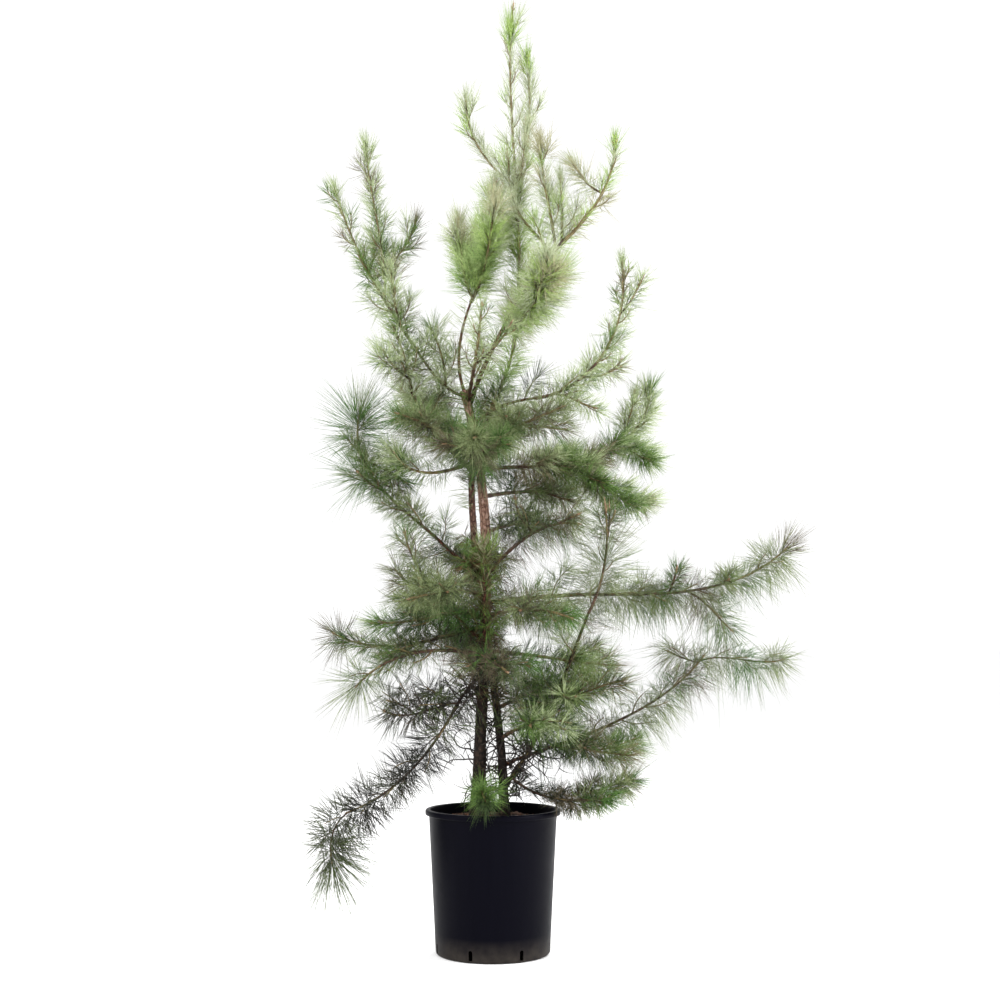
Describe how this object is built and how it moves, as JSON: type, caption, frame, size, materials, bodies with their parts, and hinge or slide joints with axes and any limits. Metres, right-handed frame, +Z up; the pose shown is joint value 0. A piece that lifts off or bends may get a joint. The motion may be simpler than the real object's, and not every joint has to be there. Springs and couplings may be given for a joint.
{
  "type": "potted pine tree",
  "caption": "Young long-needled pine with two stems and upswept tips, in a round tapered black nursery pot filled with potting mix.",
  "frame": {"origin": "middle of the pot's flat underside, on the surface that the pot stands on", "axes": "+Z up along the stems; the front is seen looking along +Y, with +X to the viewer's right"},
  "size_m": [1.1312, 0.7647, 2.1682],
  "materials": {
    "black_plastic": "blown black polypropylene, smooth with a soft sheen",
    "potting_mix": "composted bark mix, rough and matt",
    "bark": "young pine bark, scaly and matt",
    "needles_fresh": "fresh light green needles",
    "needles_green": "mid green needles",
    "needles_old": "dark green older needles"
  },
  "bodies": {
    "root": {"pot": "black_plastic", "potting_mix": "potting_mix", "trunk": "bark", "second_stem": "bark", "left_leader": "bark", "right_leader": "bark", "centre_leader": "bark", "upper_left_bough": "bark", "companion_bough": "bark", "upper_right_bough": "bark", "upright_right_bough": "bark", "long_right_bough": "bark", "low_right_bough": "bark", "low_left_bough": "bark", "far_left_bough": "bark", "mid_left_bough": "bark", "front_shoot": "bark", "centre_leader_needles": "needles_fresh", "left_leader_needles": "needles_fresh", "right_leader_needles": "needles_fresh", "right_leader_side_needles": "needles_green", "upper_left_needles": "needles_green", "upper_left_inner_needles": "needles_green", "upper_front_needles": "needles_green", "companion_needles": "needles_green", "curved_left_needles": "needles_green", "upper_right_needles": "needles_green", "mid_right_needles": "needles_green", "rising_right_needles": "needles_old", "upright_right_needles": "needles_old", "upright_right_low_needles": "needles_green", "inner_right_needles": "needles_green", "long_right_needles": "needles_old", "low_right_needles": "needles_old", "low_right_inner_needles": "needles_green", "foot_right_needles": "needles_old", "left_low_needles": "needles_old", "left_mid_needles": "needles_old", "left_high_needles": "needles_green", "low_left_needles": "needles_old", "low_left_inner_needles": "needles_old", "far_left_needles": "needles_old", "mid_left_needles": "needles_old", "front_shoot_needles": "needles_fresh", "front_high_needles": "needles_green", "front_left_high_needles": "needles_green", "front_right_high_needles": "needles_green", "back_high_needles": "needles_green", "back_left_high_needles": "needles_green", "back_right_high_needles": "needles_green", "back_right_mid_needles": "needles_old", "back_mid_needles": "needles_old", "front_right_mid_needles": "needles_old", "front_left_mid_needles": "needles_old", "back_left_mid_needles": "needles_old", "front_low_needles": "needles_old", "back_low_needles": "needles_old", "back_right_low_needles": "needles_green", "front_right_low_needles": "needles_green", "front_foot_needles": "needles_fresh"}
  },
  "joints": []
}
